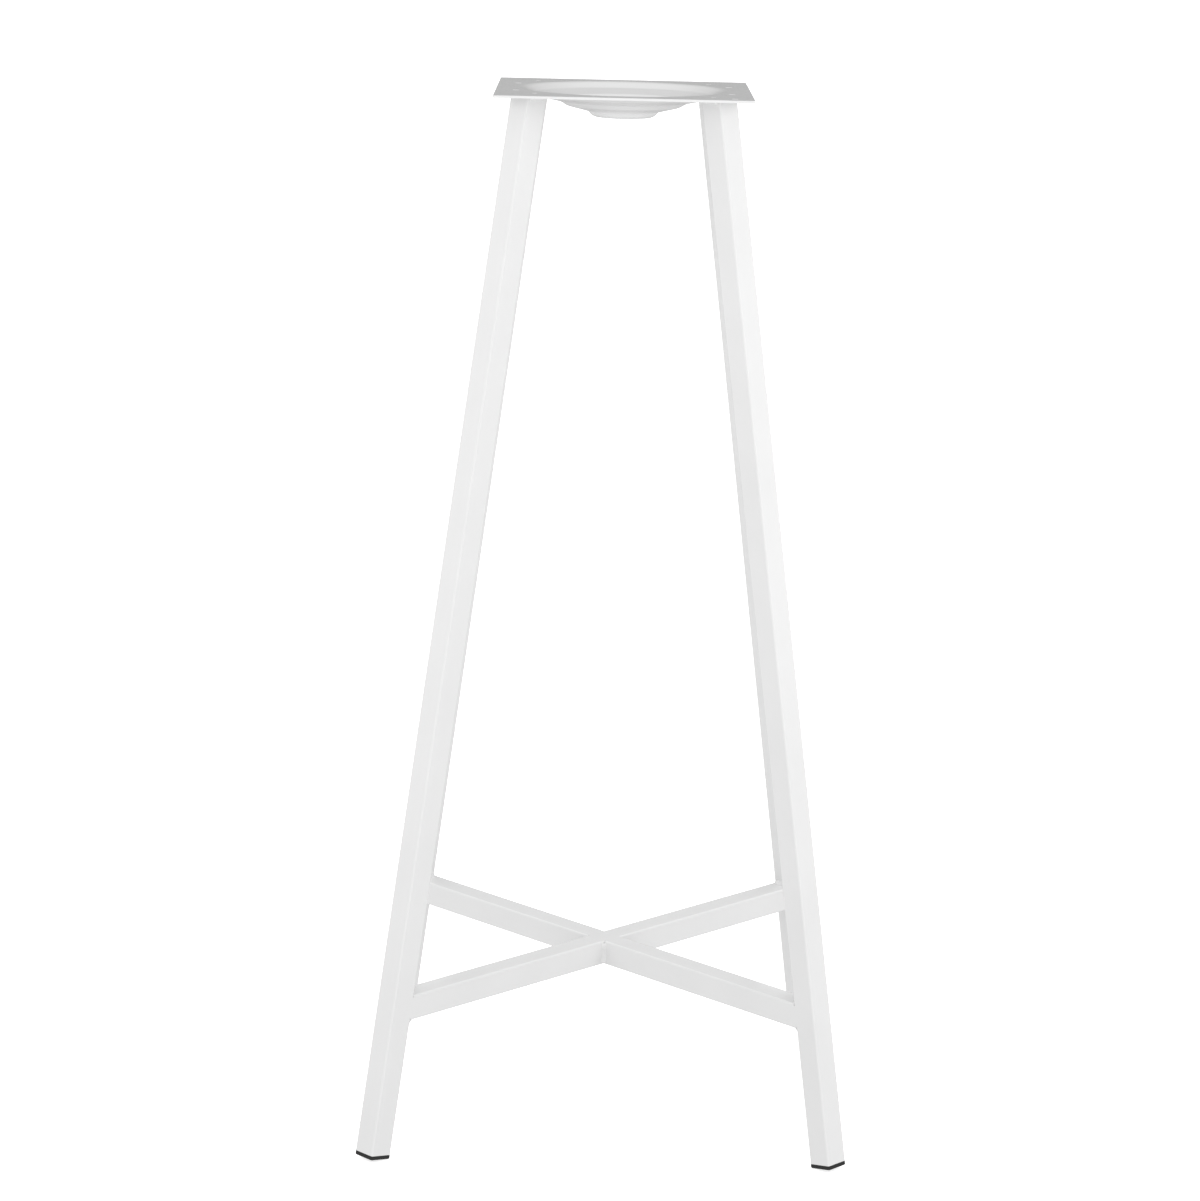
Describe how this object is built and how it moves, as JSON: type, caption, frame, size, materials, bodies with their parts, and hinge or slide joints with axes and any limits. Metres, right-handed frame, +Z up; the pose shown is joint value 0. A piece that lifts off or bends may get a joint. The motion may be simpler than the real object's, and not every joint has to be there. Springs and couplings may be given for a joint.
{
  "type": "bar table base",
  "caption": "Tall welded table base: splayed square-tube legs under a square plate pressed with a stepped dish, tied by a low crossed brace, with plastic foot caps.",
  "frame": {"origin": "on the floor, on the upright axis through the middle of the four feet and of the top plate", "axes": "+Z up, -Y to the front as pictured, +X to the right; the top plate's edges lie along X and Y"},
  "size_m": [0.4826, 0.4826, 1.035],
  "materials": {
    "white_powder_coat": "satin powder coat on welded steel",
    "black_plastic": "moulded, fine matte grain"
  },
  "bodies": {
    "root": {"top_plate": "white_powder_coat", "leg_front_left": "white_powder_coat", "leg_front_right": "white_powder_coat", "leg_rear_right": "white_powder_coat", "leg_rear_left": "white_powder_coat", "brace_through_bar": "white_powder_coat", "brace_stub_front_right": "white_powder_coat", "brace_stub_rear_left": "white_powder_coat", "welds_leg_tops": "white_powder_coat", "welds_brace_ends": "white_powder_coat", "welds_brace_crossing": "white_powder_coat", "foot_cap_front_left": "black_plastic", "foot_cap_front_right": "black_plastic", "foot_cap_rear_right": "black_plastic", "foot_cap_rear_left": "black_plastic"}
  },
  "joints": []
}
